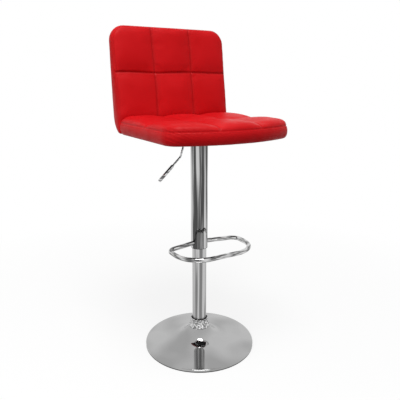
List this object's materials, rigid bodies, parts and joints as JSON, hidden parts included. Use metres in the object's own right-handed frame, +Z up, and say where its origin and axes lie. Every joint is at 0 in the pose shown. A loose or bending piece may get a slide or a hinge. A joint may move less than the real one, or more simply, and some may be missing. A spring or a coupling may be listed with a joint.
{
  "type": "counter stool",
  "caption": "Height-adjustable swivel counter stool: quilted seat with a low back, gas-lift column with a footrest loop and a lever, round trumpet foot.",
  "frame": {"origin": "on the floor, on the axis of the column, which is also the centre of the round foot", "axes": "+Z up along the column; the sitter faces -Y and the backrest is at +Y; +X is the sitter's left, and the height lever is on the -X side"},
  "size_m": [0.426, 0.4735, 1.0902],
  "materials": {
    "chrome": "bright chrome plate, polished",
    "red_leatherette": "red leatherette, fine grain, semi-gloss, quilted and top-stitched",
    "black_rubber": "black rubber, matt",
    "black_plastic": "black nylon or acetal, satin",
    "bare_steel": "bright zinc-plated or ground steel",
    "black_steel": "black powder coat, satin",
    "foam": "cream polyurethane foam",
    "plywood": "bent birch plywood, unfinished",
    "black_cloth": "black non-woven cloth"
  },
  "bodies": {
    "base": {"base_disc": "chrome", "base_rim_ring": "black_rubber", "base_underplate": "black_steel", "pole_socket": "black_steel", "foot_collar": "chrome", "lower_pole": "chrome", "pole_end_cap": "bare_steel", "pole_guide_bush": "black_plastic", "bearing_lower_race": "bare_steel"},
    "ball_cage": {"bearing_balls": "bare_steel", "bearing_cage": "black_plastic"},
    "rod": {"piston_rod": "bare_steel", "piston": "bare_steel", "piston_seal": "black_rubber", "bearing_upper_race": "bare_steel", "bump_rubber": "black_rubber", "rod_washer": "bare_steel", "rod_clip": "bare_steel"},
    "seat": {"gas_cylinder": "black_steel", "rod_guide": "black_plastic", "valve_body": "bare_steel", "upper_tube": "chrome", "upper_tube_cap": "bare_steel", "upper_tube_guide": "black_plastic", "footrest_bar": "chrome", "seat_plate": "black_steel", "lever_channel": "black_steel", "cone_socket": "black_steel", "lever_pivot_pin": "bare_steel", "seat_bolts": "bare_steel", "bolt_washers": "bare_steel", "tee_nuts": "bare_steel", "plywood_shell": "plywood", "seat_foam": "foam", "back_foam": "foam", "seat_cover": "red_leatherette", "back_cover": "red_leatherette", "back_panel": "red_leatherette", "dust_cover": "black_cloth"},
    "lever": {"lever_rod": "chrome", "lever_grip": "chrome"},
    "valve_pin": {"valve_pin": "bare_steel"}
  },
  "joints": [
    {"name": "seat_swivel", "type": "hinge", "parent": "base", "child": "rod", "pos_m": [0, 0, 0.03], "axis": [0, 0, 1], "continuous": true},
    {"name": "bearing_roll", "type": "hinge", "parent": "base", "child": "ball_cage", "pos_m": [0, 0, 0.024], "axis": [0, 0, 1], "continuous": true},
    {"name": "seat_height", "type": "slide", "parent": "rod", "child": "seat", "axis": [0, 0, 1], "range_m": [-0.21, 0]},
    {"name": "lever_lift", "type": "hinge", "parent": "seat", "child": "lever", "pos_m": [-0.032, 0, 0.733], "axis": [0, 1, 0], "range_deg": [0, 6], "stiffness_Nm_per_rad": 6, "springref_deg": -2.86},
    {"name": "valve_press", "type": "slide", "parent": "seat", "child": "valve_pin", "axis": [0, 0, -1], "range_m": [0, 0.0037]}
  ],
  "couplings": [
    {"joint": "bearing_roll", "follows": "seat_swivel", "ratio": 0.5},
    {"joint": "valve_press", "follows": "lever_lift", "m_per_rad": 0.034}
  ]
}
